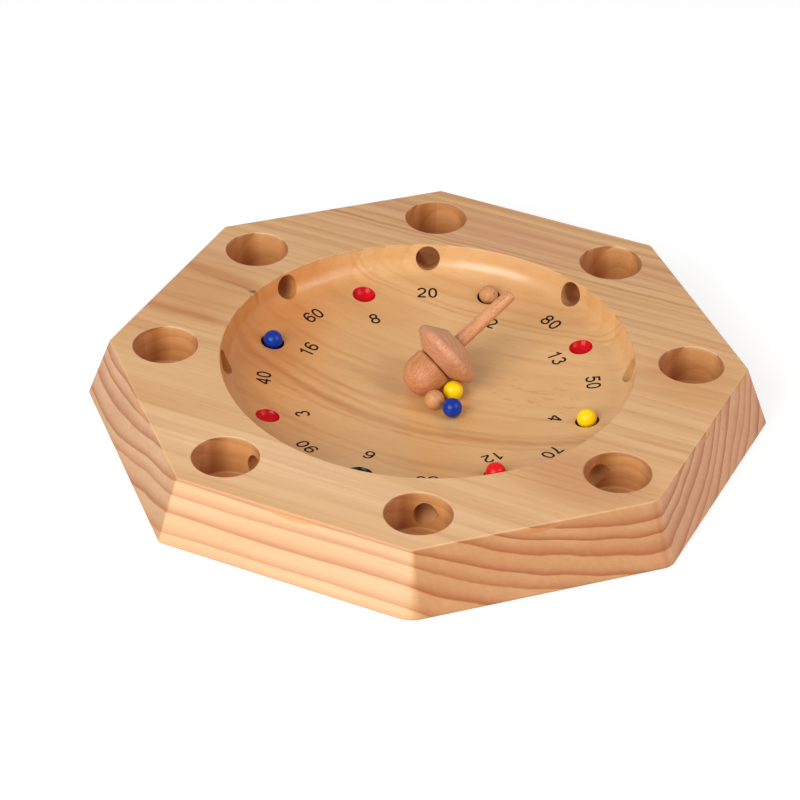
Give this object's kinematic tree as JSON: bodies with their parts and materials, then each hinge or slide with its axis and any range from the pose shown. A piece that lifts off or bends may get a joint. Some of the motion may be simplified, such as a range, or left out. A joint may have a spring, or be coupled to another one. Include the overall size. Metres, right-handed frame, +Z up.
{
  "type": "tabletop roulette board with spinning top",
  "caption": "Octagonal wooden board with a dished bowl, scoring wells, sloping tunnels to corner cups, a leaning spinning top and small coloured balls.",
  "frame": {"origin": "centre of the board's underside", "axes": "+Z up, out of the bowl; +X towards the corner cup scored 50, -Y towards the cup scored 30, nearest the viewer"},
  "size_m": [0.3476, 0.3466, 0.056],
  "materials": {
    "pine": "clear matt lacquer",
    "beech": "waxed, turned",
    "ball_natural": "sanded and waxed",
    "ball_yellow": "satin paint",
    "ball_red": "satin paint",
    "ball_blue": "satin paint"
  },
  "bodies": {
    "board": {"board": "pine"},
    "spinning_top": {"top_stem": "beech", "top_disc": "beech", "top_knob": "beech"},
    "ball_natural_in_well_2_body": {"ball_natural_in_well_2": "ball_natural"},
    "ball_yellow_in_well_4_body": {"ball_yellow_in_well_4": "ball_yellow"},
    "ball_red_in_well_12_body": {"ball_red_in_well_12": "ball_red"},
    "ball_blue_in_well_16_body": {"ball_blue_in_well_16": "ball_blue"},
    "ball_natural_loose_body": {"ball_natural_loose": "ball_natural"},
    "ball_yellow_loose_body": {"ball_yellow_loose": "ball_yellow"},
    "ball_blue_loose_body": {"ball_blue_loose": "ball_blue"}
  },
  "joints": [
    {"name": "top_spin", "type": "hinge", "parent": "board", "child": "spinning_top", "pos_m": [-0.0015, 0.00065, 0.0208], "axis": [0.701, 0.4604, 0.5446], "continuous": true},
    {"name": "lift_natural_in_well_2", "type": "slide", "parent": "board", "child": "ball_natural_in_well_2_body", "axis": [0, 0, 1], "range_m": [0, 0.06]},
    {"name": "lift_yellow_in_well_4", "type": "slide", "parent": "board", "child": "ball_yellow_in_well_4_body", "axis": [0, 0, 1], "range_m": [0, 0.06]},
    {"name": "lift_red_in_well_12", "type": "slide", "parent": "board", "child": "ball_red_in_well_12_body", "axis": [0, 0, 1], "range_m": [0, 0.06]},
    {"name": "lift_blue_in_well_16", "type": "slide", "parent": "board", "child": "ball_blue_in_well_16_body", "axis": [0, 0, 1], "range_m": [0, 0.06]},
    {"name": "lift_natural_loose", "type": "slide", "parent": "board", "child": "ball_natural_loose_body", "axis": [0, -0.72, 0.694], "range_m": [0, 0.1]},
    {"name": "lift_yellow_loose", "type": "slide", "parent": "board", "child": "ball_yellow_loose_body", "axis": [0, -0.72, 0.694], "range_m": [0, 0.1]},
    {"name": "lift_blue_loose", "type": "slide", "parent": "board", "child": "ball_blue_loose_body", "axis": [0, -0.72, 0.694], "range_m": [0, 0.1]}
  ]
}
